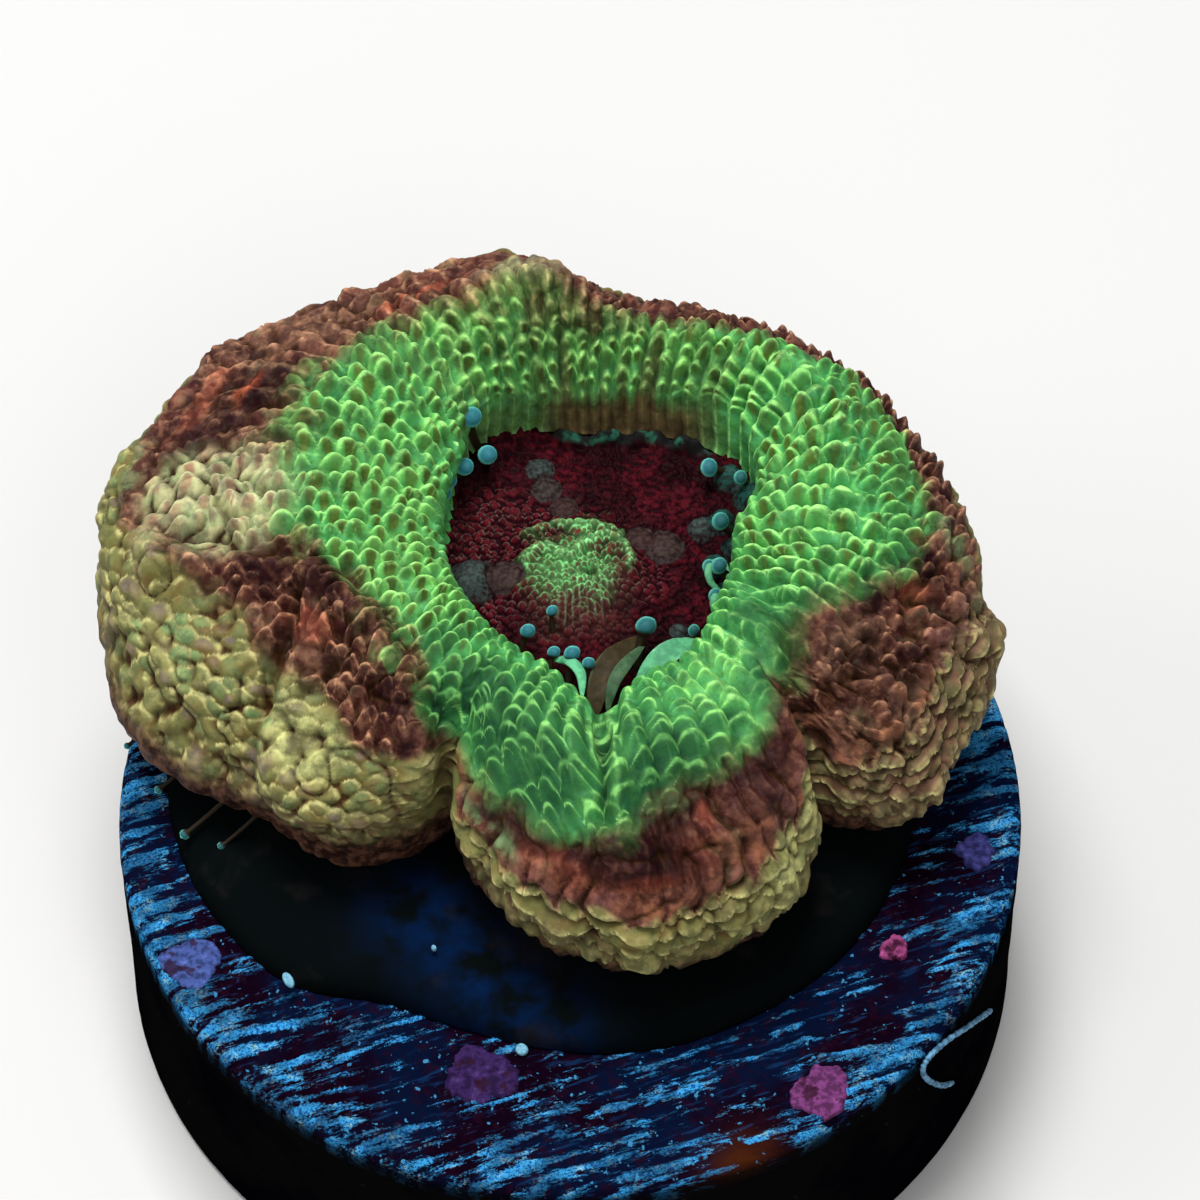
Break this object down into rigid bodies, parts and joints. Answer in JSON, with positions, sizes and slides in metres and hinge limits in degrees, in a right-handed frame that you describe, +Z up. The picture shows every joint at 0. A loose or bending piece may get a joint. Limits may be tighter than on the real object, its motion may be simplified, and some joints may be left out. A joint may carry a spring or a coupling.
{
  "type": "acan coral on a frag disc",
  "caption": "fleshy stony coral polyp with a lobed, puffy ring of tissue round a sunken oral disc, stuck by a dark pad on a thick round ceramic disc",
  "frame": {"origin": "centre of the disc's flat underside", "axes": "+Z up out of the disc and through the coral, -Y the side with the coral's middle near lobe, +X to the right seen from there"},
  "size_m": [0.0327, 0.0347, 0.0195],
  "materials": {
    "coral_tissue": "moist, satin, fluorescent green tissue over a stony skeleton",
    "reef_glue": "smooth, near black, satin",
    "frag_ceramic": "unglazed, saw-streaked on top, overgrown and stained",
    "crust_pink": "matte chalky crust",
    "crust_purple": "matte chalky crust",
    "crust_lavender": "matte chalky crust",
    "worm_tube_chalk": "matte chalk"
  },
  "bodies": {
    "root": {"coral": "coral_tissue", "glue_pad": "reef_glue", "frag_disc": "frag_ceramic", "coralline_crust_front_right": "crust_pink", "coralline_crust_right": "crust_pink", "coralline_crust_front_left": "crust_purple", "coralline_crust_right_rim": "crust_lavender", "coralline_crust_left_rim": "crust_lavender", "worm_tube": "worm_tube_chalk"}
  },
  "joints": []
}
